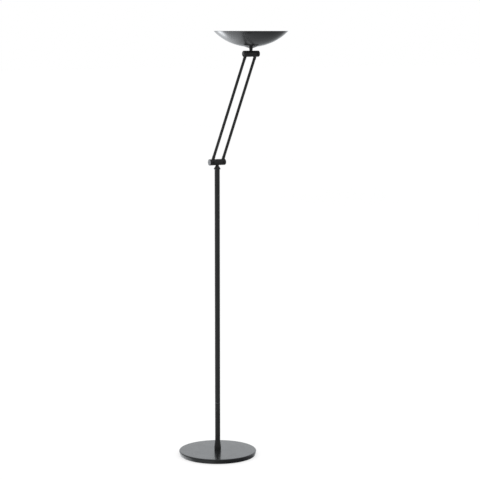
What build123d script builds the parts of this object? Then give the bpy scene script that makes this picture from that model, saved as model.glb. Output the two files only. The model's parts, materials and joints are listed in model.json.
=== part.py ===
"""Torchiere floor lamp: a weighted round base, a two-piece pole, a swivelling parallelogram arm and a shallow dish.

Millimetres, +Z up. The origin is on the floor, at the pole's axis. X is the direction in which the arm leans.
Each piece is written to parts/NODE.step.
"""

from build123d import *
import math
import os

# Driving dimensions
rim_height = 1800.0          # floor to the dish's rim, with the arm at rest
base_radius = 165.0
base_height = 21.0
pole_radius = 11.0
pole_wall = 1.5
pole_joint_z = 226.0         # where the pole's two tubes meet
lower_pivot_z = 1255.5
arm_length = 477.0           # pivot to pivot
rest_tilt = 19.6             # degrees from upright
widest_tilt = 50.0
pivot_spacing = 47.0
arm_radius = 6.0
block_radius = 13.0
block_half_length = 37.4
knob_end = 36.6              # pole's axis to the lock knob's face
dish_sphere_radius = 217.5
dish_depth = 67.0
dish_wall = 1.2

# Fits
tight = 0.02                 # radial gap of a pressed or brazed joint
close = 0.05                 # radial gap of a sliding or screwed joint
running = 0.06               # radial gap of a bearing
past = 1.0                   # how far a cutter reaches past a face

# Base
base_edge_radius = 4.0
base_foot_radius = 160.5
base_skirt_z = 1.5
sheet = 1.5
pad_thickness = 2.0
plate_thickness = 2.5
weight_radius = 154.0
plate_screw_circle = 100.0
plate_screw_radius = 2.0
countersink_radius = 4.0
countersink_depth = 1.9
pocket_radius = 30.0
pocket_top_z = 11.0
channel_width = 17.0
channel_top_z = 14.0
nipple_radius = 6.5
nipple_bore = 4.3
nipple_top_z = 52.0

# Leads
inlet_z = 9.5
inlet_bore = 3.6
inlet_neck = 5.0
lead_radius = 2.2
thin_lead_radius = 1.9
wire_radius = 1.1
base_terminal_y = 110.0

# Swivel
spindle_radius = 5.0
spindle_bore = 3.5
bush_radius = 6.5
ferrule_radius = 14.2
ferrule_top_radius = 7.0
ferrule_seat = 2.5           # how far the bush's top lies under the cone's
stop_circle = 7.9
stop_peg_radius = 1.2

# Pivots
pin_radius = 2.5
pin_head_radius = 4.5
head_recess_radius = 4.7
head_recess_y = 9.6
head_top_y = 12.0
eye_radius = 5.8
bush_outer = 3.8
tongue_half = 3.0
slot_half = 3.6
slot_reach = 6.2             # slot wall to pivot axis
slot_spare = 0.8             # degrees that the slot allows past the widest tilt
tongue_length = 28.5         # pivot to the tube's end
plug_length = 18.0
knob_thickness = 4.3

# Head
land_radius = 16.0           # flat land round the dish's hole
seat_radius = 25.0
seat_gap = 4.0               # dish's lowest point to the stem's top

# Places worked out from the driving dimensions
arm_run = arm_length * math.sin(math.radians(rest_tilt))
arm_rise = arm_length * math.cos(math.radians(rest_tilt))
head_x = arm_run
upper_pivot_z = lower_pivot_z + arm_rise
half_spacing = pivot_spacing / 2
pole_bore = pole_radius - pole_wall
pole_top_z = lower_pivot_z - 30.0
cone_top_z = lower_pivot_z - 15.0
plug_z = pole_top_z - 27.5   # underside of the plug that holds the swivel's bush
weight_z = pad_thickness + plate_thickness
stem_top_z = rim_height - dish_depth - seat_gap
dish_bottom_z = rim_height - dish_depth
dish_centre_z = dish_bottom_z + dish_sphere_radius


def sphere_z(radius, sphere_radius=dish_sphere_radius):
    """Height of the lower half of a sphere about the dish's centre, at a distance from its axis."""
    return dish_centre_z - math.sqrt(sphere_radius**2 - radius**2)


def sphere_r(z, sphere_radius=dish_sphere_radius):
    """Radius of a sphere about the dish's centre, at a height."""
    return math.sqrt(sphere_radius**2 - (dish_centre_z - z) ** 2)


land_z = sphere_z(land_radius)
trough_floor_z = dish_bottom_z + 20.0
trough_top_z = dish_bottom_z + 54.0
lamp_z = dish_bottom_z + 38.0


# ---------------------------------------------------------------- simple forms


def turned(*points):
    """A solid turned about Z, from the corners (radius, height) of its section."""
    return revolve(make_face(Polyline(*[(r, 0, z) for r, z in points], close=True)), Axis.Z)


def turned_edges(*edges):
    """A solid turned about Z, from the edges of its section in the XZ plane."""
    return revolve(make_face(Wire(list(edges))), Axis.Z)


def rod(radius, z0, z1, bore=0.0):
    """An upright rod, or a tube if it has a bore."""
    return turned((bore, z0), (radius, z0), (radius, z1), (bore, z1))


def rod_y(radius, y0, y1, x=0.0, z=0.0, bore=0.0):
    """A rod along Y."""
    return Pos(x, 0, z) * Rot(-90, 0, 0) * rod(radius, y0, y1, bore)


def rod_x(radius, x0, x1, z=0.0, bore=0.0):
    """A rod along X."""
    return Pos(0, 0, z) * Rot(0, 90, 0) * rod(radius, x0, x1, bore)


def block(x0, x1, y0, y1, z0, z1):
    """A box between two corners."""
    size = Box(x1 - x0, y1 - y0, z1 - z0)
    return Pos((x0 + x1) / 2, (y0 + y1) / 2, (z0 + z1) / 2) * size


def outwards(side, near, far):
    """The span from near to far on one side of zero, lower end first."""
    return sorted((side * near, side * far))


def both_ends(piece, place):
    """A piece and its copy half a turn round, about an upright axis."""
    return Compound([place * Rot(0, 0, turn) * piece for turn in (0, 180)])


def wire_along(points, radii, radius):
    """A round wire of straight runs joined by tangent arcs."""
    path = FilletPolyline(*points, radius=radii)
    start = Plane(origin=path @ 0, z_dir=path % 0)
    return sweep(start * Circle(radius), path=path)


# ---------------------------------------------------------------- base


def base_cover():
    """Pressed cover: flat top, rounded edge and a skirt that draws in towards the floor."""
    edge = base_edge_radius
    inner = edge - sheet
    top = base_height
    corner = base_radius - edge
    low = top - edge
    diagonal = math.sqrt(0.5)
    hole = nipple_radius + 0.3
    foot, inner_foot = base_foot_radius, base_foot_radius - sheet
    cover = turned_edges(
        Line((hole, 0, top), (corner, 0, top)),
        ThreePointArc(
            (corner, 0, top),
            (corner + edge * diagonal, 0, low + edge * diagonal),
            (base_radius, 0, low),
        ),
        Line((base_radius, 0, low), (foot, 0, base_skirt_z)),
        Line((foot, 0, base_skirt_z), (inner_foot, 0, base_skirt_z)),
        Line((inner_foot, 0, base_skirt_z), (base_radius - sheet, 0, low)),
        ThreePointArc(
            (base_radius - sheet, 0, low),
            (corner + inner * diagonal, 0, low + inner * diagonal),
            (corner, 0, top - sheet),
        ),
        Line((corner, 0, top - sheet), (hole, 0, top - sheet)),
        Line((hole, 0, top - sheet), (hole, 0, top)),
    )
    return cover - rod_y(inlet_neck, weight_radius, base_radius + past, z=inlet_z)


def base_weight():
    """Cast disc with a tapped hole, a pocket for the lead's bend and a channel out to the inlet."""
    half = channel_width / 2
    tapped_depth = 7.0
    disc = rod(weight_radius, weight_z, base_height - sheet, nipple_radius + close)
    disc -= rod(pocket_radius, weight_z - past, pocket_top_z)
    disc -= block(-half, half, 0, weight_radius + past, weight_z - past, channel_top_z)
    for place in plate_screw_places():
        disc -= place * rod(plate_screw_radius, weight_z - past, weight_z + tapped_depth)
    return disc


def plate_screw_places():
    """Where the bottom plate's three screws are: clear of the lead's channel."""
    return [Rot(0, 0, angle) * Pos(plate_screw_circle, 0, 0) for angle in (30, 150, 270)]


def base_plate():
    low, top = pad_thickness, weight_z
    hole_radius = plate_screw_radius + 0.1
    sink = low + countersink_depth
    hole = turned((0, low), (countersink_radius, low), (hole_radius, sink), (hole_radius, top), (0, top))
    plate = rod(weight_radius, low, top)
    for place in plate_screw_places():
        plate -= place * hole
    return plate


def base_plate_screws():
    """Countersunk screws with a cross recess, under the pad's three windows."""
    low = pad_thickness
    head = countersink_radius - 0.1
    sink = low + countersink_depth
    end = low + 9.0
    arm, half_width, depth = 2.2, 0.4, 1.0
    screw = turned((0, low), (head, low), (plate_screw_radius, sink), (plate_screw_radius - close, end), (0, end))
    screw -= block(-arm, arm, -half_width, half_width, low - past, low + depth)
    screw -= block(-half_width, half_width, -arm, arm, low - past, low + depth)
    return Compound([place * screw for place in plate_screw_places()])


def base_pad():
    """Non-slip pad, with a window over each screw."""
    window_radius = 6.0
    pad = rod(weight_radius - 3.0, 0, pad_thickness)
    for place in plate_screw_places():
        pad -= place * rod(window_radius, -past, pad_thickness + past)
    return pad


def cord_grommet(cover):
    """Bush in the skirt where the supply lead goes in: a neck between two flanges."""
    inner_end = weight_radius + 0.4
    outer_end = base_radius + 1.5
    rim = outer_end - 3.0
    flange, lip = 6.8, 5.2
    bush = Pos(0, 0, inlet_z) * Rot(-90, 0, 0) * turned(
        (inlet_bore, inner_end), (flange, inner_end), (flange, rim), (lip, outer_end), (inlet_bore, outer_end)
    )
    neck = rod_y(inlet_neck - close, inner_end, outer_end, z=inlet_z, bore=inlet_bore)
    bush = bush - cover + neck
    return bush.solids().sort_by(SortBy.VOLUME)[-1]


def terminal(x_half, y0, y1, z0, z1, poles):
    """Screw terminal block with a wire hole and a screw well for each pole."""
    wire_hole, well_radius, well_depth = 1.5, 1.6, 2.5
    body = block(-x_half, x_half, y0, y1, z0, z1)
    pitch = 2 * x_half / poles
    for n in range(poles):
        x = -x_half + pitch * (n + 0.5)
        body -= rod_y(wire_hole, y0 - past, y1 + past, x=x, z=(z0 + z1) / 2)
        body -= Pos(x, (y0 + y1) / 2, 0) * rod(well_radius, z1 - well_depth, z1 + past)
    return body


def base_terminal():
    length, height, half_width = 18.0, 9.0, 7.5
    low = weight_z + 0.1
    return terminal(half_width, base_terminal_y, base_terminal_y + length, low, low + height, 3)


# ---------------------------------------------------------------- pole


def foot_collar():
    """Turned sleeve at the pole's foot: straight below, tapering to the pole above."""
    inside = pole_radius + close
    outside = 14.3
    straight_top = 34.0
    top = 62.0
    return turned(
        (inside, base_height),
        (outside, base_height),
        (outside, straight_top),
        (pole_radius + 0.6, top - 0.5),
        (pole_radius + 0.3, top),
        (inside, top),
    )


def pole_insert():
    """Plug brazed in the pole's foot, tapped for the hollow stud."""
    length = 38.0
    return rod(pole_bore - tight, base_height, base_height + length, nipple_radius + close)


def pole_tube(z0, z1):
    """A length of the pole, with its ends' outer edges broken."""
    bevel = 0.4
    return turned(
        (pole_bore, z0),
        (pole_radius - bevel, z0),
        (pole_radius, z0 + bevel),
        (pole_radius, z1 - bevel),
        (pole_radius - bevel, z1),
        (pole_bore, z1),
    )


ring_height = 0.8            # the thin ring that shows between the pole's tubes


def pole_coupler():
    """Sleeve inside both tubes, with a thin ring that shows between them."""
    bore, half_length = 6.5, 30.0
    outside = pole_bore - tight
    ring_radius = pole_radius - 0.6
    z = pole_joint_z
    return turned(
        (bore, z - half_length),
        (outside, z - half_length),
        (outside, z),
        (ring_radius, z),
        (ring_radius, z + ring_height),
        (outside, z + ring_height),
        (outside, z + half_length),
        (bore, z + half_length),
    )


def top_ferrule():
    """Cone on the pole's top. Its plug holds the swivel's bush, and a peg under the plug stops the swivel."""
    outside = pole_bore - tight
    neck = spindle_radius + 0.2
    seat = cone_top_z - ferrule_seat
    peg_length = 6.0
    cone = turned(
        (bush_radius, plug_z),
        (outside, plug_z),
        (outside, pole_top_z),
        (ferrule_radius - 1.0, pole_top_z),
        (ferrule_radius, pole_top_z + 1.2),
        (ferrule_radius, pole_top_z + 3.0),
        (ferrule_top_radius, cone_top_z),
        (neck, cone_top_z),
        (neck, seat),
        (bush_radius, seat),
    )
    return cone + Pos(-stop_circle, 0, 0) * rod(stop_peg_radius, plug_z - peg_length, plug_z + past)


# ---------------------------------------------------------------- swivel


def swivel_bush():
    return rod(bush_radius - tight, plug_z + 3.0, cone_top_z - ferrule_seat, spindle_radius + close)


def swivel_spindle(lower):
    """Hollow spindle with the collar that shows between the cone and the block."""
    foot = plug_z - 14.0
    collar_low = cone_top_z + 0.4
    collar_top = lower_pivot_z - 8.0
    top = lower_pivot_z - 5.0
    spindle = turned(
        (spindle_bore, foot),
        (spindle_radius, foot),
        (spindle_radius, collar_low),
        (6.8, collar_low),
        (6.4, collar_top),
        (spindle_radius, collar_top),
        (spindle_radius, top),
        (spindle_bore, top),
    )
    return spindle - lower


def stop_collar():
    """Ring on the spindle with the lug that meets the ferrule's peg at either end of the swivel's travel."""
    low, top = plug_z - 7.0, plug_z - 1.0
    lug_reach, lug_half, lug_top = 9.0, 1.5, plug_z - 2.5
    ring = rod(6.4, low, top, spindle_radius)
    return ring + block(spindle_radius + 0.5, lug_reach, -lug_half, lug_half, low, lug_top)


def wave_washer():
    return rod(6.3, plug_z - 0.95, plug_z - 0.05, spindle_radius + close)


def spindle_nut():
    return rod(8.0, plug_z - 13.0, plug_z - 7.1, spindle_radius)


# ---------------------------------------------------------------- cross blocks


def arm_block(left_end):
    """Cross block: a round bar with a slot for each arm's tongue. Origin at its centre, arms towards +Z."""
    end_radius = 4.0
    bar = rod_x(block_radius, -left_end, block_half_length)
    bar = fillet(bar.edges().sort_by(Axis.X)[-1], end_radius)
    for x in (-half_spacing, half_spacing):
        bar -= Pos(x, 0, 0) * tongue_slot()
        bar -= rod_y(pin_radius, -block_radius - past, block_radius + past, x=x)
        for side in (-1, 1):
            bar -= rod_y(head_recess_radius, *outwards(side, head_recess_y, block_radius + past), x=x)
    return bar


def tongue_slot():
    """What the tongue sweeps from upright to the widest tilt, about the pivot."""
    lean = math.radians(widest_tilt + slot_spare)
    edge = (slot_reach * math.cos(lean), -slot_reach * math.sin(lean))
    height = block_radius + 3.0
    run = (height - edge[1]) * math.tan(lean)
    outline = Polyline(
        (-slot_reach, 0), (-slot_reach, height), (edge[0] + run, height), edge, close=True
    )
    swept = Plane.XZ * make_face(outline) + Plane.XZ * Circle(slot_reach)
    return extrude(swept, slot_half, both=True)


def spindle_socket():
    """What a spindle or stud takes out of a block from above: its seat and the lead's way."""
    seat_z, way_z = 5.0, -4.0
    return rod(spindle_radius, seat_z, block_radius + past) + rod(spindle_bore, way_z, seat_z + past)


def lower_block():
    bar = arm_block(knob_end - knob_thickness - 0.1)
    bar -= Rot(180, 0, 0) * spindle_socket()
    bar -= rod_x(pin_radius, -block_half_length, -half_spacing)
    return Pos(0, 0, lower_pivot_z) * bar


def upper_block():
    far_end_radius = 3.0
    bar = Rot(0, 180, 0) * arm_block(block_half_length)
    bar = fillet(bar.edges().filter_by(GeomType.CIRCLE).sort_by(Axis.X)[-1], far_end_radius)
    return Pos(head_x, 0, upper_pivot_z) * (bar - spindle_socket())


def pivot_screws(x, z):
    """The two shoulder screws of a cross block, heads towards -Y, with a hexagon socket."""
    socket_radius, socket_floor, shank_end = 1.5, -10.6, 11.4
    screw = rod_y(pin_head_radius, -head_top_y, -head_recess_y) + rod_y(pin_radius, -11.0, shank_end)
    screw -= Pos(0, socket_floor, 0) * extrude(Plane.XZ * RegularPolygon(socket_radius, 6), 2.0)
    return Compound([Pos(x + side, 0, z) * screw for side in (-half_spacing, half_spacing)])


def pivot_nuts(x, z):
    """The round nuts on the far side, each with two spanner slots."""
    slot_floor, slot_half_width = 11.2, 0.5
    nut = rod_y(pin_head_radius, head_recess_y, head_top_y, bore=pin_radius)
    for side in (-1, 1):
        nut -= block(*outwards(side, 3.1, 5.0), slot_floor, head_top_y + past, -slot_half_width, slot_half_width)
    return Compound([Pos(x + side, 0, z) * nut for side in (-half_spacing, half_spacing)])


def friction_washers(x, z):
    """A washer on each side of each tongue."""
    radius, thickness = 5.6, 0.55
    washers = []
    for side in (-half_spacing, half_spacing):
        for y in (-slot_half, tongue_half + close):
            washers.append(rod_y(radius, y, y + thickness, x=x + side, z=z, bore=pin_radius + tight))
    return Compound(washers)


# ---------------------------------------------------------------- lock


def lock_knob():
    """Thin round knob on the block's end, with coin-edge grooves and a recess for its disc."""
    outer = -knob_end
    inner = outer + knob_thickness
    grooves, groove_radius = 36, 0.6
    knob = rod_x(block_radius, outer, inner)
    knob = chamfer(knob.edges().sort_by(Axis.X)[-1], 0.6)
    knob -= rod_x(block_radius - 0.7, outer - past, outer + 0.9)
    knob -= rod_x(pin_radius, outer + 2.0, inner + past)
    groove = rod_x(groove_radius, outer + 1.2, inner - 1.0, z=block_radius + 0.25)
    for n in range(grooves):
        knob -= Rot(n * 360 / grooves, 0, 0) * groove
    return Pos(0, 0, lower_pivot_z) * knob


def lock_knob_disc():
    return rod_x(block_radius - 0.75, -knob_end + 0.1, -knob_end + 0.9, z=lower_pivot_z)


def lock_stud():
    return rod_x(pin_radius - 0.03, -knob_end + 2.0, -half_spacing - 7.1, z=lower_pivot_z)


def lock_pad():
    return rod_x(pin_radius - 0.1, -half_spacing - 7.0, -half_spacing - 5.9, z=lower_pivot_z)


# ---------------------------------------------------------------- arms


def arm_end(lead_way):
    """End fitting: an eye and tongue for the block, a shoulder, and a plug inside the tube. Origin at its pivot."""
    half_width = arm_radius - 0.2
    way_radius, way_start, way_mouth = 2.15, 15.0, 22.0
    end = block(-half_width, half_width, -tongue_half, tongue_half, 0, tongue_length - 2.0)
    end += rod_y(eye_radius, -tongue_half, tongue_half)
    end += rod(arm_radius, tongue_length - 2.5, tongue_length)
    end += rod(arm_radius - 1.05, tongue_length - 1.0, tongue_length + plug_length)
    end -= rod_y(bush_outer, -tongue_half - past, tongue_half + past)
    if lead_way:
        end -= rod(way_radius, way_start, tongue_length + plug_length + past)
        end -= block(0, arm_radius + past, -way_radius, way_radius, way_start, way_mouth)
    return end


def arm_place(side):
    """Where an arm's own frame is: origin at its lower pivot, +Z along the arm."""
    return Pos(side * half_spacing, 0, lower_pivot_z) * Rot(0, rest_tilt, 0)


def arm_pieces(side, name, lead_way):
    """The tube, the two end fittings and the two bushes of an arm."""
    place = arm_place(side)
    far = Pos(0, 0, arm_length) * Rot(0, 180, 0)
    tube = rod(arm_radius, tongue_length, arm_length - tongue_length, arm_radius - 1.0)
    bush = rod_y(bush_outer, -tongue_half, tongue_half, bore=pin_radius + running)
    return {
        name + "_tube": place * tube,
        name + "_lower_end": place * arm_end(lead_way),
        name + "_upper_end": place * far * arm_end(lead_way),
        name + "_bushes": Compound([place * bush, place * far * bush]),
    }


def arm_lead():
    """Lead through the left arm."""
    start = 16.0
    return arm_place(-1) * rod(thin_lead_radius, start, arm_length - start)


# ---------------------------------------------------------------- dish and its stem


def head_stem(upper):
    """Turned neck between the upper block and the dish's seat, widening upwards."""
    bore = spindle_radius + tight
    stem = turned(
        (bore, upper_pivot_z),
        (6.3, upper_pivot_z),
        (6.5, upper_pivot_z + block_radius + 1.0),
        (8.0, stem_top_z),
        (bore, stem_top_z),
    )
    half_block = 20.0
    return Pos(head_x, 0, 0) * (stem - rod_x(block_radius, -half_block, half_block, z=upper_pivot_z)) - upper


def head_stud():
    """Hollow threaded stud that holds the stem, the seat and the dish together."""
    return Pos(head_x, 0, 0) * rod(spindle_radius, upper_pivot_z + 5.0, dish_bottom_z + 8.0, spindle_bore)


def dish_seat():
    """Turned washer that spreads the dish's load: a low cone below, the dish's own curve above."""
    rim_z = sphere_z(seat_radius)
    rim_low = rim_z - 0.8
    middle = (land_radius + seat_radius) / 2
    bore = spindle_radius + tight
    foot = 9.0
    return Pos(head_x, 0, 0) * turned_edges(
        Line((bore, 0, stem_top_z), (foot, 0, stem_top_z)),
        Line((foot, 0, stem_top_z), (seat_radius, 0, rim_low)),
        Line((seat_radius, 0, rim_low), (seat_radius, 0, rim_z)),
        ThreePointArc((seat_radius, 0, rim_z), (middle, 0, sphere_z(middle)), (land_radius, 0, land_z)),
        Line((land_radius, 0, land_z), (bore, 0, land_z)),
        Line((bore, 0, land_z), (bore, 0, stem_top_z)),
    )


def dish():
    """Spun bowl: part of a spherical shell, with a flat land round its hole and a bead turned in at its rim."""
    inner_radius = dish_sphere_radius - dish_wall
    bore = spindle_radius + 0.1
    land_top = land_z + dish_wall
    bead = 1.2
    bead_z = rim_height - bead
    bead_inset = 2.0
    outer_land, inner_land = land_radius, sphere_r(land_top, inner_radius)
    outer_rim, inner_rim = sphere_r(rim_height), sphere_r(rim_height, inner_radius)

    def arc_at(radius_a, radius_b, sphere_radius):
        radii = (radius_a, (radius_a + radius_b) / 2, radius_b)
        return ThreePointArc(*[(r, 0, sphere_z(r, sphere_radius)) for r in radii])

    shell = turned_edges(
        Line((bore, 0, land_z), (outer_land, 0, land_z)),
        arc_at(outer_land, outer_rim, dish_sphere_radius),
        Line((outer_rim, 0, rim_height), (inner_rim, 0, rim_height)),
        arc_at(inner_rim, inner_land, inner_radius),
        Line((inner_land, 0, land_top), (bore, 0, land_top)),
        Line((bore, 0, land_top), (bore, 0, land_z)),
    )
    bead_place = Plane(
        origin=(sphere_r(bead_z) - bead_inset, 0, bead_z), x_dir=(1, 0, 0), z_dir=(0, -1, 0)
    )
    return Pos(head_x, 0, 0) * (shell + revolve(bead_place * Circle(bead), Axis.Z))


# ---------------------------------------------------------------- lamp unit

trough_half = 75.0
floor_half_y = 22.0
top_half_y = 44.0
trough_wall = 0.8
bridge_wall = 1.5
bridge_screw_x = 28.0
stud_nut_height = 4.0
wire_hole_x = 63.0
wire_hole_y = 5.5
contact_half = 57.1          # lamp's middle to its end contacts
lamp_tube_half = 40.0
lamp_tube_radius = 5.5
pinch_half_height = 1.2
pinch_half_width = 3.6
glass_half_x = 77.0
glass_half_y = 47.0
glass_thickness = 4.0


def trough_form(grow):
    """The trough's outer form, a flared box, or its inside when grow is negative."""
    low = Plane.XY.offset(trough_floor_z - grow)
    high = Plane.XY.offset(trough_top_z)
    x = 2 * (trough_half + grow)
    return loft(
        [
            low * Rectangle(x, 2 * (floor_half_y + grow)),
            high * Rectangle(x, 2 * (top_half_y + grow)),
        ]
    )


def lamp_trough():
    """Folded reflector box round the lamp, with a flange that carries the glass."""
    flange_x, flange_y = trough_half + 3.0, top_half_y + 4.0
    mouth_x, mouth_y = trough_half - trough_wall, top_half_y - 4.0
    box = trough_form(0)
    box += block(-flange_x, flange_x, -flange_y, flange_y, trough_top_z - trough_wall, trough_top_z)
    box -= trough_form(-trough_wall)
    box -= block(-mouth_x, mouth_x, -mouth_y, mouth_y, trough_top_z - 2.0, trough_top_z + past)
    low, high = trough_floor_z - past, trough_floor_z + trough_wall + past
    for side in (-1, 1):
        box -= Pos(side * bridge_screw_x, 0, 0) * rod(1.7, low, high)
        box -= Pos(side * wire_hole_x, side * wire_hole_y, 0) * rod(1.8, low, high)
    return Pos(head_x, 0, 0) * box


def reflector_bridge():
    """Bent strip: clamped by the nut at its middle, with a foot under the trough at each end."""
    low = land_z + dish_wall
    high = trough_floor_z - bridge_wall
    bend, half_width, foot_end = 12.0, 8.0, 36.0
    strip = block(-bend, bend, -half_width, half_width, low, low + bridge_wall)
    for side in (-1, 1):
        upright = outwards(side, bend, bend + bridge_wall)
        foot = outwards(side, bend, foot_end)
        strip += block(*upright, -half_width, half_width, low, trough_floor_z)
        strip += block(*foot, -half_width, half_width, high, trough_floor_z)
        strip -= Pos(side * bridge_screw_x, 0, 0) * rod(1.6, high - past, trough_floor_z + past)
    strip -= rod(spindle_radius + 0.1, low - past, low + bridge_wall + past)
    return Pos(head_x, 0, 0) * strip


def stud_nut():
    across_flats = 14.0
    z = land_z + dish_wall + bridge_wall
    nut = extrude(Plane.XY.offset(z) * RegularPolygon(across_flats / 2, 6, major_radius=False), stud_nut_height)
    return Pos(head_x, 0, 0) * (nut - rod(spindle_radius + tight, z - past, z + stud_nut_height + past))


def trough_screws():
    """Screws through the trough's floor into the bridge's feet."""
    seat = trough_floor_z + trough_wall
    screw = rod(1.5, trough_floor_z - 5.0, seat) + rod(3.0, seat, seat + 2.0)
    screw -= block(-4, 4, -0.35, 0.35, seat + 1.2, seat + 3.0)
    return Compound([Pos(head_x + side * bridge_screw_x, 0, 0) * screw for side in (-1, 1)])


def lamp_sockets():
    """Ceramic holders on the trough's floor, one at each end, each with a nose round its contact."""
    inner, outer, half_width = 60.0, 72.0, 7.5
    body = block(inner, outer, -half_width, half_width, trough_floor_z + trough_wall, lamp_z + 7.0)
    body = chamfer(body.edges().filter_by(Axis.X), 1.5)
    body -= rod_x(5.0, inner - past, inner + 3.0, z=lamp_z)
    body -= rod_x(1.7, inner - past, outer - 2.0, z=lamp_z)
    body -= Pos(wire_hole_x, wire_hole_y, 0) * rod(1.3, trough_floor_z, trough_floor_z + 6.0)
    return both_ends(body, Pos(head_x, 0, 0))


def socket_contacts():
    """Sprung pins that press on the lamp's ends."""
    start = contact_half + 0.1
    pin = rod_x(1.6, start, 69.0) + rod_x(2.4, start, start + 1.2)
    return both_ends(pin, Pos(head_x, 0, lamp_z))


def bulb_glass():
    """Quartz tube with a pinch at each end."""
    wall, pinch_end = 1.1, 50.0
    bore_half = lamp_tube_half - 2.0
    tube = rod_x(lamp_tube_radius, -lamp_tube_half, lamp_tube_half)
    tube -= rod_x(lamp_tube_radius - wall, -bore_half, bore_half)
    for end in (0, -1):
        tube = fillet(tube.edges().filter_by(GeomType.CIRCLE).group_by(Axis.X)[end], 1.5)
    for side in (-1, 1):
        span = outwards(side, lamp_tube_half - 0.5, pinch_end)
        tube += block(*span, -pinch_half_width, pinch_half_width, -pinch_half_height, pinch_half_height)
    return Pos(head_x, 0, lamp_z) * tube


def bulb_caps():
    """Ceramic caps on the pinches."""
    start, pinch_end = 48.0, 50.0
    cap = rod_x(3.7, start, contact_half)
    cap -= block(
        start - past, pinch_end, -pinch_half_width, pinch_half_width, -pinch_half_height, pinch_half_height
    )
    cap = fillet(cap.edges().filter_by(GeomType.CIRCLE).sort_by(Axis.X)[-1], 1.0)
    return both_ends(cap, Pos(head_x, 0, lamp_z))


def bulb_filament():
    radius, half_length = 0.7, lamp_tube_half - 2.0
    return Pos(head_x, 0, 0) * rod_x(radius, -half_length, half_length, z=lamp_z)


def cover_glass():
    """Heat-resistant pane over the trough."""
    top = trough_top_z + glass_thickness
    glass = block(-glass_half_x, glass_half_x, -glass_half_y, glass_half_y, trough_top_z, top)
    glass = fillet(glass.edges().filter_by(Axis.Z), 4.0)
    return Pos(head_x, 0, 0) * chamfer(glass.edges().group_by(Axis.Z)[-1], 0.5)


def glass_clips():
    """Spring strips that hook under the trough's flange and over the glass."""
    strip, half_width = 0.7, 8.0
    back = top_half_y + 4.1
    low = trough_top_z - trough_wall
    high = trough_top_z + glass_thickness
    clip = block(-half_width, half_width, back, back + strip, low - strip, high + strip)
    clip += block(-half_width, half_width, back - 2.5, back + 0.4, low - strip, low)
    clip += block(-half_width, half_width, back - 6.1, back + 0.4, high, high + strip)
    return both_ends(clip, Pos(head_x, 0, 0))


# ---------------------------------------------------------------- wiring

head_terminal_y = 16.0
head_terminal_half = 12.0
head_lead_z = dish_bottom_z + 13.4
socket_wire_z = dish_bottom_z + 15.6


def head_terminal():
    low, high, length = dish_bottom_z + 10.5, trough_floor_z - 0.1, 16.0
    body = terminal(head_terminal_half, head_terminal_y, head_terminal_y + length, low, high, 2)
    return Pos(head_x, 0, 0) * body


def head_lead():
    """Lead up the hollow stud, bent over to the terminal block."""
    start_z, bend_radius = upper_pivot_z - 3.0, 5.5
    end_y = head_terminal_y - 0.1
    route = [(head_x, 0, start_z), (head_x, 0, head_lead_z), (head_x, end_y, head_lead_z)]
    return wire_along(route, [bend_radius], thin_lead_radius)


def socket_wires():
    """One wire from the terminal block to each holder."""
    y, end_z = head_terminal_y + 8.0, trough_floor_z + 4.0
    wires = []
    for side in (-1, 1):
        x = head_x + side * wire_hole_x
        route = [
            (head_x + side * (head_terminal_half + 0.1), y, socket_wire_z),
            (x, y, socket_wire_z),
            (x, side * wire_hole_y, socket_wire_z),
            (x, side * wire_hole_y, end_z),
        ]
        wires.append(wire_along(route, [6.0, 3.0], wire_radius))
    return Compound(wires)


def pole_lead():
    """Lead from the base's terminal block, round the pocket's bend and up the pole to the lower block."""
    z, bend_radius = weight_z + lead_radius + 0.2, 8.0
    route = [(0, base_terminal_y - 0.1, z), (0, 0, z), (0, 0, lower_pivot_z - 4.0)]
    return wire_along(route, [bend_radius], lead_radius)


# ---------------------------------------------------------------- the lamp


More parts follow.
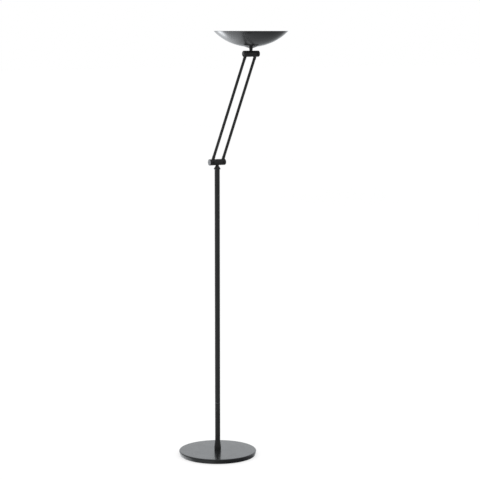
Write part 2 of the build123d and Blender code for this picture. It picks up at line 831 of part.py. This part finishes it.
def all_pieces():
    """Every piece of the lamp, by node name."""
    cover = base_cover()
    lower = lower_block()
    upper = upper_block()
    pieces = {
        "base_cover": cover,
        "base_weight": base_weight(),
        "base_plate": base_plate(),
        "base_pad": base_pad(),
        "base_plate_screws": base_plate_screws(),
        "cord_grommet": cord_grommet(cover),
        "base_terminal": base_terminal(),
        "foot_collar": foot_collar(),
        "base_stud": rod(nipple_radius, pocket_top_z, nipple_top_z, nipple_bore),
        "pole_insert": pole_insert(),
        "pole_lower": pole_tube(base_height, pole_joint_z),
        "pole_coupler": pole_coupler(),
        "pole_upper": pole_tube(pole_joint_z + ring_height, pole_top_z),
        "top_ferrule": top_ferrule(),
        "swivel_bush": swivel_bush(),
        "pole_lead": pole_lead(),
        "swivel_spindle": swivel_spindle(lower),
        "stop_collar": stop_collar(),
        "wave_washer": wave_washer(),
        "spindle_nut": spindle_nut(),
        "lower_block": lower,
        "lower_pivot_screws": pivot_screws(0, lower_pivot_z),
        "lower_pivot_nuts": pivot_nuts(0, lower_pivot_z),
        "lower_friction_washers": friction_washers(0, lower_pivot_z),
        "lock_pad": lock_pad(),
        "lock_knob": lock_knob(),
        "lock_knob_disc": lock_knob_disc(),
        "lock_stud": lock_stud(),
        "upper_block": upper,
        "upper_pivot_screws": pivot_screws(head_x, upper_pivot_z),
        "upper_pivot_nuts": pivot_nuts(head_x, upper_pivot_z),
        "upper_friction_washers": friction_washers(head_x, upper_pivot_z),
        "head_stem": head_stem(upper),
        "head_stud": head_stud(),
        "dish_seat": dish_seat(),
        "dish": dish(),
        "reflector_bridge": reflector_bridge(),
        "stud_nut": stud_nut(),
        "lamp_trough": lamp_trough(),
        "trough_screws": trough_screws(),
        "lamp_sockets": lamp_sockets(),
        "socket_contacts": socket_contacts(),
        "bulb_glass": bulb_glass(),
        "bulb_caps": bulb_caps(),
        "bulb_filament": bulb_filament(),
        "cover_glass": cover_glass(),
        "glass_clips": glass_clips(),
        "head_terminal": head_terminal(),
        "head_lead": head_lead(),
        "socket_wires": socket_wires(),
    }
    pieces.update(arm_pieces(-1, "left_arm", True))
    pieces.update(arm_pieces(1, "right_arm", False))
    pieces["arm_lead"] = arm_lead()
    return pieces


os.makedirs("parts", exist_ok=True)
for node, piece in all_pieces().items():
    export_step(piece, f"parts/{node}.step")
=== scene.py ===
"""Looks of the torchiere floor lamp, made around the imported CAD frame. Metres, +Z up."""

import json
import math

import bmesh
import bpy
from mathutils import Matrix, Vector


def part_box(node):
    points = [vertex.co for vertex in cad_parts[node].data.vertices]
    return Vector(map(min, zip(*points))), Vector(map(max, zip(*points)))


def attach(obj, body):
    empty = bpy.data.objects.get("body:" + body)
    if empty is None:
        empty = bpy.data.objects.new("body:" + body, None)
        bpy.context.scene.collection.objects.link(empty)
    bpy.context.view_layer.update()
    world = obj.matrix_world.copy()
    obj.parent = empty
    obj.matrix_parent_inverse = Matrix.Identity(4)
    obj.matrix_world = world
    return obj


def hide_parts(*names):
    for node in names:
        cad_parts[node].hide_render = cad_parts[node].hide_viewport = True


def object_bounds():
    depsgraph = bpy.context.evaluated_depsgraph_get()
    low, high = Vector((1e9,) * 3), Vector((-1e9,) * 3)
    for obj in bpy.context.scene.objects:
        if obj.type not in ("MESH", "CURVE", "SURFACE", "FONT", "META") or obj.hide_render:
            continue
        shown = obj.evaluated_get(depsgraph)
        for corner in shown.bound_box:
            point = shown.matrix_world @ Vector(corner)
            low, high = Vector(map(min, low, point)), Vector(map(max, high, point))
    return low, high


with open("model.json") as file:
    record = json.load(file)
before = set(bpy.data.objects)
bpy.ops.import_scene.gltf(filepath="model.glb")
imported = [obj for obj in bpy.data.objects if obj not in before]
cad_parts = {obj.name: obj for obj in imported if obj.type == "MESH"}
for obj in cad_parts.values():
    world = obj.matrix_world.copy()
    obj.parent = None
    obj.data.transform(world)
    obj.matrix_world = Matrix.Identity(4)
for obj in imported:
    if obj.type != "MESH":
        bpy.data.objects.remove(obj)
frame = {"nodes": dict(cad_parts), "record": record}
cad_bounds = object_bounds()
MM = 0.001


def middle(node):
    """The middle of a node's box."""
    low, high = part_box(node)
    return (Vector(low) + Vector(high)) / 2


# ---------------------------------------------------------------- node helpers


def new_material(name):
    """A material with only an output and a Principled shader; returns (material, tree, shader)."""
    material = bpy.data.materials.new(name)
    material.use_nodes = True
    tree = material.node_tree
    shader = tree.nodes["Principled BSDF"]
    return material, tree, shader


def noise(tree, scale, detail=4.0, roughness=0.5, stretch=None):
    """Noise in object space, its scale in features per metre; stretch squeezes it along an axis."""
    coordinates = tree.nodes.new("ShaderNodeTexCoord")
    texture = tree.nodes.new("ShaderNodeTexNoise")
    texture.inputs["Scale"].default_value = scale
    texture.inputs["Detail"].default_value = detail
    texture.inputs["Roughness"].default_value = roughness
    vector = coordinates.outputs["Object"]
    if stretch:
        mapping = tree.nodes.new("ShaderNodeMapping")
        mapping.inputs["Scale"].default_value = stretch
        tree.links.new(vector, mapping.inputs["Vector"])
        vector = mapping.outputs["Vector"]
    tree.links.new(vector, texture.inputs["Vector"])
    return texture.outputs["Fac"]


def ranged(tree, value, low, high, start=0.3, stop=0.7):
    """value between start and stop, mapped to low and high."""
    node = tree.nodes.new("ShaderNodeMapRange")
    node.inputs["From Min"].default_value = start
    node.inputs["From Max"].default_value = stop
    node.inputs["To Min"].default_value = low
    node.inputs["To Max"].default_value = high
    tree.links.new(value, node.inputs["Value"])
    return node.outputs["Result"]


def vector_step(tree, operation, vector, constant=None):
    """One vector operation on a vector, with a constant as its second operand where it takes one."""
    node = tree.nodes.new("ShaderNodeVectorMath")
    node.operation = operation
    tree.links.new(vector, node.inputs[0])
    if constant is not None:
        node.inputs[1].default_value = constant
    return node


def colours(tree, value, *stops):
    """A colour ramp over value, from (place, colour) stops."""
    ramp = tree.nodes.new("ShaderNodeValToRGB")
    elements = ramp.color_ramp.elements
    elements[0].position, elements[0].color = stops[0][0], (*stops[0][1], 1)
    elements[1].position, elements[1].color = stops[-1][0], (*stops[-1][1], 1)
    for place, colour in stops[1:-1]:
        elements.new(place).color = (*colour, 1)
    tree.links.new(value, ramp.inputs["Fac"])
    return ramp.outputs["Color"]


def bump(tree, shader, height, depth):
    """Bump of a real depth in metres."""
    node = tree.nodes.new("ShaderNodeBump")
    node.inputs["Strength"].default_value = 1.0
    node.inputs["Distance"].default_value = depth
    tree.links.new(height, node.inputs["Height"])
    tree.links.new(node.outputs["Normal"], shader.inputs["Normal"])


# ---------------------------------------------------------------- materials

# Bump depths in metres, from a polished face to a cast one.
POLISHED, FINE, EGGSHELL, MOULDED, RUBBER, CAST = 0.00001, 0.00002, 0.00003, 0.00004, 0.0001, 0.0003
GRAIN = 900.0  # features per metre in paint and on drawn or plated metal
TURNING_MARKS = 1800.0  # rings per metre


def paint(name, dark, light, smooth, rough, peel_depth):
    """Stoved paint: faint cloudiness, uneven gloss and a fine orange peel."""
    material, tree, shader = new_material(name)
    cloud = noise(tree, 9.0, 5.0)
    tree.links.new(colours(tree, cloud, (0.35, dark), (0.65, light)), shader.inputs["Base Color"])
    smear = noise(tree, 28.0, 6.0, 0.6)
    tree.links.new(ranged(tree, smear, smooth, rough), shader.inputs["Roughness"])
    bump(tree, shader, noise(tree, GRAIN, 2.0), peel_depth)
    return material


def plain(name, dark, light, smooth, rough, grain, grain_depth, metallic=0.0):
    """A moulded, cast or plated surface with a fine grain."""
    material, tree, shader = new_material(name)
    cloud = noise(tree, 60.0, 5.0)
    tree.links.new(colours(tree, cloud, (0.3, dark), (0.7, light)), shader.inputs["Base Color"])
    tree.links.new(ranged(tree, noise(tree, 140.0), smooth, rough), shader.inputs["Roughness"])
    bump(tree, shader, noise(tree, grain, 3.0), grain_depth)
    shader.inputs["Metallic"].default_value = metallic
    return material


def brushed(name, dark, light, stretch):
    """Metal with its brushing along one axis."""
    material, tree, shader = new_material(name)
    lines = noise(tree, 60.0, 6.0, 0.6, stretch)
    tree.links.new(colours(tree, lines, (0.3, dark), (0.7, light)), shader.inputs["Base Color"])
    tree.links.new(ranged(tree, lines, 0.22, 0.42), shader.inputs["Roughness"])
    bump(tree, shader, lines, FINE)
    shader.inputs["Metallic"].default_value = 1.0
    return material


def spun(name, dark, light, centre):
    """Metal with turning marks: fine rings about an axis along X."""
    material, tree, shader = new_material(name)
    place = tree.nodes.new("ShaderNodeTexCoord").outputs["Object"]
    from_centre = vector_step(tree, "SUBTRACT", place, centre).outputs["Vector"]
    in_plane = vector_step(tree, "MULTIPLY", from_centre, (0, 1, 1)).outputs["Vector"]
    distance = vector_step(tree, "LENGTH", in_plane)
    rings = tree.nodes.new("ShaderNodeTexNoise")
    rings.noise_dimensions = "1D"
    rings.inputs["Scale"].default_value = TURNING_MARKS
    rings.inputs["Detail"].default_value = 3.0
    tree.links.new(distance.outputs["Value"], rings.inputs["W"])
    marks = rings.outputs["Fac"]
    tree.links.new(colours(tree, marks, (0.3, dark), (0.7, light)), shader.inputs["Base Color"])
    tree.links.new(ranged(tree, marks, 0.24, 0.4), shader.inputs["Roughness"])
    bump(tree, shader, marks, POLISHED)
    shader.inputs["Metallic"].default_value = 1.0
    return material


def clear(name, tint, ior):
    """Glass with faint smears."""
    material, tree, shader = new_material(name)
    shader.inputs["Transmission Weight"].default_value = 1.0
    shader.inputs["IOR"].default_value = ior
    smear = noise(tree, 45.0, 4.0)
    tree.links.new(colours(tree, smear, (0.3, tint), (0.7, (1, 1, 1))), shader.inputs["Base Color"])
    tree.links.new(ranged(tree, smear, 0.01, 0.05), shader.inputs["Roughness"])
    return material


SATIN_BLACK = paint(
    "satin_black_paint", (0.012, 0.0125, 0.0125), (0.017, 0.0175, 0.0175), 0.34, 0.44, EGGSHELL
)
GLOSS_BLACK = paint(
    "gloss_black_paint", (0.010, 0.0105, 0.011), (0.015, 0.0155, 0.016), 0.20, 0.25, POLISHED
)
BASE_BLACK = paint(
    "base_black_paint", (0.010, 0.0107, 0.0115), (0.014, 0.0147, 0.0155), 0.20, 0.26, POLISHED
)
WHITE_INSIDE = paint(
    "white_inside_paint", (0.78, 0.78, 0.76), (0.84, 0.84, 0.82), 0.35, 0.5, EGGSHELL
)
MATERIALS = {
    "pole_paint": SATIN_BLACK,
    "dish_paint": GLOSS_BLACK,
    "cast_iron": plain("cast_iron", (0.05, 0.05, 0.05), (0.09, 0.085, 0.08), 0.6, 0.85, 500.0, CAST, 0.8),
    "zinc_steel": plain(
        "zinc_plate", (0.50, 0.51, 0.53), (0.62, 0.62, 0.63), 0.28, 0.42, GRAIN, POLISHED, 1.0
    ),
    "black_steel": plain(
        "black_oxide", (0.015, 0.015, 0.017), (0.03, 0.03, 0.032), 0.35, 0.5, GRAIN, POLISHED, 0.6
    ),
    "satin_aluminium": spun(
        "satin_aluminium", (0.28, 0.28, 0.29), (0.36, 0.36, 0.37), middle("lock_knob_disc")
    ),
    "bright_aluminium": brushed("bright_aluminium", (0.72, 0.72, 0.73), (0.84, 0.84, 0.85), (0.3, 8, 8)),
    "brass": plain("brass", (0.60, 0.43, 0.18), (0.72, 0.54, 0.25), 0.2, 0.35, GRAIN, POLISHED, 1.0),
    "bearing_plastic": plain(
        "natural_acetal", (0.72, 0.70, 0.64), (0.80, 0.78, 0.72), 0.35, 0.5, 800.0, POLISHED
    ),
    "pad_rubber": plain(
        "pad_rubber", (0.012, 0.012, 0.012), (0.025, 0.025, 0.025), 0.7, 0.9, 700.0, RUBBER
    ),
    "terminal_plastic": plain(
        "terminal_plastic", (0.78, 0.77, 0.72), (0.85, 0.84, 0.8), 0.4, 0.55, 800.0, FINE
    ),
    "black_sheath": plain(
        "black_sheath", (0.012, 0.012, 0.012), (0.022, 0.022, 0.022), 0.4, 0.55, 800.0, FINE
    ),
    "white_wire": plain("white_wire", (0.78, 0.78, 0.75), (0.86, 0.86, 0.83), 0.4, 0.55, 800.0, FINE),
    "white_ceramic": plain(
        "white_ceramic", (0.76, 0.75, 0.7), (0.86, 0.85, 0.81), 0.5, 0.7, 1200.0, MOULDED
    ),
    "quartz": clear("quartz", (0.96, 0.97, 0.98), 1.46),
    "tungsten": plain("tungsten", (0.2, 0.2, 0.2), (0.32, 0.31, 0.3), 0.35, 0.5, GRAIN, POLISHED, 1.0),
    "clear_glass": clear("clear_glass", (0.93, 0.98, 0.96), 1.52),
}

SLOT_OF = {part["node"]: part["material_slot"] for part in frame["record"]["subparts"]}
for node, thing in frame["nodes"].items():
    thing.data.materials.clear()
    thing.data.materials.append(MATERIALS[SLOT_OF[node]])


# ---------------------------------------------------------------- mesh helpers


def arc(centre, radius, start, stop, steps):
    """Points (r, z) on an arc in the section plane, its angles in degrees."""
    angles = [math.radians(start + (stop - start) * n / steps) for n in range(steps + 1)]
    return [(centre[0] + radius * math.cos(a), centre[1] + radius * math.sin(a)) for a in angles]


SEGMENTS = 256


def lathe(name, outline, node, slots=None):
    """A closed outline of (r, z) turned about the upright axis through a node's middle."""
    x, y, _ = middle(node)
    mesh = bmesh.new()
    rings = []
    for r, z in outline:
        turns = [2 * math.pi * n / SEGMENTS for n in range(SEGMENTS)]
        rings.append([mesh.verts.new((x + r * math.cos(t), y + r * math.sin(t), z)) for t in turns])
    for n, ring in enumerate(rings):
        following = rings[(n + 1) % len(rings)]
        for k in range(SEGMENTS):
            near = (k + 1) % SEGMENTS
            face = mesh.faces.new((ring[k], ring[near], following[near], following[k]))
            face.smooth = True
            face.material_index = slots[n] if slots else 0
    bmesh.ops.recalc_face_normals(mesh, faces=mesh.faces)
    data = bpy.data.meshes.new(name)
    mesh.to_mesh(data)
    mesh.free()
    data.set_sharp_from_angle(angle=math.radians(40))
    thing = bpy.data.objects.new(name, data)
    bpy.context.scene.collection.objects.link(thing)
    return thing


def finish_piece(thing, node, *materials):
    """Gives a piece its materials and the body of the node that it replaces, and hides that node."""
    for material in materials:
        thing.data.materials.append(material)
    body = next(b for b, members in frame["record"]["behaviour"]["bodies"].items() if node in members)
    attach(thing, body)
    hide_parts(node)


# ---------------------------------------------------------------- base


def make_base_cover():
    """Pressed cover: flat top, rounded edge and a skirt that draws in to the floor."""
    low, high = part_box("base_cover")
    radius, top, bottom = high[0], high[2], low[2]
    edge, sheet, hole = 4.0 * MM, 1.5 * MM, 6.9 * MM
    foot = radius - 4.5 * MM
    lip, foot_round = 0.3 * MM, 0.4 * MM
    rings_on_top = (0.05, 0.1, 0.15)
    corner = (radius - edge, top - edge)
    outline = [(hole, top)] + [(r, top) for r in rings_on_top]
    outline += arc(corner, edge, 90, 0, 12)
    outline += [(foot + lip, bottom + lip)]
    outline += arc((foot - foot_round, bottom + foot_round), foot_round, 0, -90, 4)
    outline += [(foot - sheet, bottom), (radius - sheet, corner[1])]
    outline += arc(corner, edge - sheet, 0, 90, 8)
    outline += [(hole, top - sheet)]
    finish_piece(lathe("base_cover_skin", outline, "base_cover"), "base_cover", BASE_BLACK)


# ---------------------------------------------------------------- dish


def make_dish():
    """Spun bowl, gloss black outside and white inside, its rim rolled inwards."""
    low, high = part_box("dish")
    rim_z, bottom = high[2], low[2]
    sphere, wall, land, hole = 217.5 * MM, 1.2 * MM, 16.0 * MM, 5.1 * MM
    edge, bead, bead_inset = 0.6 * MM, 1.2 * MM, 2.0 * MM
    centre = bottom + math.sqrt(sphere**2 - land**2)

    def slope(r, radius):
        """Angle, in the section plane, of the lower half of a sphere at a distance from the axis."""
        return math.degrees(math.asin(r / radius)) - 90

    edge_r = math.sqrt((sphere - edge) ** 2 - (centre - rim_z + edge) ** 2)
    bead_r = math.sqrt(sphere**2 - (centre - rim_z + bead) ** 2) - bead_inset
    inside = sphere - wall
    outer = arc((0, centre), sphere, slope(land, sphere), slope(edge_r, sphere - edge), 48)
    rolled = arc((edge_r, rim_z - edge), edge, slope(edge_r, sphere - edge), 90, 8)
    turned_in = arc((bead_r, rim_z - bead), bead, 90, 225, 10)
    inner = arc((0, centre), inside, slope(bead_r - bead / 2, inside), slope(land, inside), 48)
    outline = [(hole, outer[0][1])] + outer + rolled + turned_in + inner + [(hole, inner[-1][1])]
    white_from = 1 + len(outer) + len(rolled)
    slots = [1 if white_from <= n < len(outline) - 1 else 0 for n in range(len(outline))]
    finish_piece(lathe("dish_shell", outline, "dish", slots), "dish", GLOSS_BLACK, WHITE_INSIDE)


# ---------------------------------------------------------------- lamp


def make_filament():
    """Coiled wire along the lamp, with straight ends, in place of the plain rod."""
    low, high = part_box("bulb_filament")
    centre = middle("bulb_filament")
    half, coil_half = (high[0] - low[0]) / 2, 30.0 * MM
    wire, coil, turns, steps = 0.12 * MM, 0.5 * MM, 60, 12
    points = [(-half, 0, 0)]
    for n in range(turns * steps + 1):
        angle = 2 * math.pi * n / steps
        along = coil_half * (2 * n / (turns * steps) - 1)
        points.append((along, coil * math.sin(angle), coil * math.cos(angle)))
    points.append((half, 0, 0))
    curve = bpy.data.curves.new("filament_coil", "CURVE")
    curve.dimensions = "3D"
    curve.bevel_depth = wire
    curve.bevel_resolution = 1
    spline = curve.splines.new("POLY")
    spline.points.add(len(points) - 1)
    for point, place in zip(spline.points, points):
        point.co = (*(centre + Vector(place)), 1)
    coil_piece = bpy.data.objects.new("filament_coil", curve)
    bpy.context.scene.collection.objects.link(coil_piece)
    finish_piece(coil_piece, "bulb_filament", MATERIALS["tungsten"])


make_base_cover()
make_dish()
make_filament()


# ---------------------------------------------------------------- stage, light and camera

VIEW_TURN = math.radians(-27.0)
ACROSS = Vector((math.cos(VIEW_TURN), math.sin(VIEW_TURN), 0))
AHEAD = Vector((-math.sin(VIEW_TURN), math.cos(VIEW_TURN), 0))


def make_floor():
    """Pale floor, partly lit from itself. Gloss looks past it to the studio's gradient."""
    data = bpy.data.meshes.new("floor")
    half = 60.0
    corners = [(-half, -half, 0), (half, -half, 0), (half, half, 0), (-half, half, 0)]
    data.from_pydata(corners, [], [(0, 1, 2, 3)])
    floor = bpy.data.objects.new("floor", data)
    bpy.context.scene.collection.objects.link(floor)
    floor.visible_glossy = False
    material, tree, shader = new_material("pale_floor")
    shade = colours(tree, noise(tree, 0.4, 2.0), (0.3, (0.34,) * 3), (0.7, (0.36,) * 3))
    tree.links.new(shade, shader.inputs["Base Color"])
    shader.inputs["Roughness"].default_value = 1.0
    shader.inputs["Specular IOR Level"].default_value = 0.0
    shader.inputs["Emission Color"].default_value = (1, 1, 1, 1)
    shader.inputs["Emission Strength"].default_value = 0.66
    data.materials.append(material)


def towards(tree, direction, target):
    """How far a world direction points the way of target, from -1 to 1."""
    return vector_step(tree, "DOT_PRODUCT", direction, Vector(target).normalized()).outputs["Value"]


def combined(tree, operation, first, second):
    """Two values added or multiplied."""
    node = tree.nodes.new("ShaderNodeMath")
    node.operation = operation
    tree.links.new(first, node.inputs[0])
    tree.links.new(second, node.inputs[1])
    return node.outputs["Value"]


UP = Vector((0, 0, 1))
WALL_DIM, WALL_BRIGHT = 0.28, 1.2
GROUND_STOPS = ((0.3, 2.0), (0.4, 0.9), (0.5, 0.6), (0.7, 0.5), (1.0, 0.15))  # left to right, brightness
GROUND_IN_FRONT = 0.3
GLOW_TOWARDS = AHEAD * 0.70 - ACROSS * 0.47 - UP * 0.54
GLOW_PEAK = 7.0
GLOW_EDGE = 0.985  # cosine of the glow's half angle
STUDIO_TINT = (0.94, 0.97, 1, 1)


def make_world():
    """A white surround. Camera and diffuse light see it plain. Gloss sees walls that are bright behind
    the lamp and dim in front of it, and a floor that darkens to the right, with one glow at the left."""
    world = bpy.data.worlds.new("studio")
    bpy.context.scene.world = world
    world.use_nodes = True
    tree = world.node_tree
    direction = tree.nodes.new("ShaderNodeTexCoord").outputs["Generated"]
    behind = towards(tree, direction, AHEAD)
    walls = ranged(tree, behind, WALL_DIM, WALL_BRIGHT, 0.0, 0.9)
    rightness = ranged(tree, towards(tree, direction, ACROSS), 0.0, 1.0, -0.6, 0.6)
    ground = colours(tree, rightness, *((place, (level,) * 3) for place, level in GROUND_STOPS))
    ground = combined(tree, "MULTIPLY", ground, ranged(tree, behind, GROUND_IN_FRONT, 1.0, -0.05, 0.1))
    lowness = ranged(tree, towards(tree, direction, UP), 1.0, 0.0, -0.42, -0.22)
    blend = tree.nodes.new("ShaderNodeMix")
    tree.links.new(lowness, blend.inputs["Factor"])
    tree.links.new(walls, blend.inputs["A"])
    tree.links.new(ground, blend.inputs["B"])
    glow = ranged(tree, towards(tree, direction, GLOW_TOWARDS), 0.0, GLOW_PEAK, GLOW_EDGE, 1.0)
    studio = tree.nodes.new("ShaderNodeBackground")
    studio.inputs["Color"].default_value = STUDIO_TINT
    tree.links.new(combined(tree, "ADD", blend.outputs["Result"], glow), studio.inputs["Strength"])
    plain_white = tree.nodes["Background"]
    plain_white.inputs["Color"].default_value = (1, 1, 1, 1)
    plain_white.inputs["Strength"].default_value = 1.0
    rays = tree.nodes.new("ShaderNodeLightPath")
    mix = tree.nodes.new("ShaderNodeMixShader")
    tree.links.new(rays.outputs["Is Glossy Ray"], mix.inputs["Fac"])
    tree.links.new(plain_white.outputs["Background"], mix.inputs[1])
    tree.links.new(studio.outputs["Background"], mix.inputs[2])
    tree.links.new(mix.outputs["Shader"], tree.nodes["World Output"].inputs["Surface"])


def softbox(name, place, target, size, power):
    """A soft area light that faces a point."""
    light = bpy.data.lights.new(name, "AREA")
    light.shape = "RECTANGLE"
    light.size, light.size_y = size
    light.energy = power
    thing = bpy.data.objects.new(name, light)
    thing.location = place
    thing.rotation_euler = (Vector(target) - Vector(place)).to_track_quat("-Z", "Y").to_euler()
    bpy.context.scene.collection.objects.link(thing)


CAMERA_DISTANCE = 6.722
CAMERA_OVER_RIM = 0.011
CAMERA_PITCH = math.radians(7.495)
CAMERA_YAW = math.radians(0.8146)
CAMERA_LENS = 120.72


def make_camera():
    """Nearly level with the rim, some way off, turned so that the arm's near end is at the left."""
    rim_z = cad_bounds[1][2]
    data = bpy.data.cameras.new("camera")
    data.lens = CAMERA_LENS
    data.clip_end = 200.0
    camera = bpy.data.objects.new("camera", data)
    camera.location = -AHEAD * CAMERA_DISTANCE + Vector((0, 0, rim_z + CAMERA_OVER_RIM))
    camera.rotation_euler = (math.pi / 2 - CAMERA_PITCH, 0, VIEW_TURN - CAMERA_YAW)
    bpy.context.scene.collection.objects.link(camera)
    bpy.context.scene.camera = camera


make_floor()
make_world()
make_camera()
softbox("left_softbox", UP * 1.9 - ACROSS * 3.0 - AHEAD * 1.2, UP * 1.4, (1.2, 2.2), 6)
softbox("overhead_softbox", UP * 4.5, UP * 0, (2.5, 2.5), 20)
bpy.context.scene.view_settings.view_transform = "Standard"
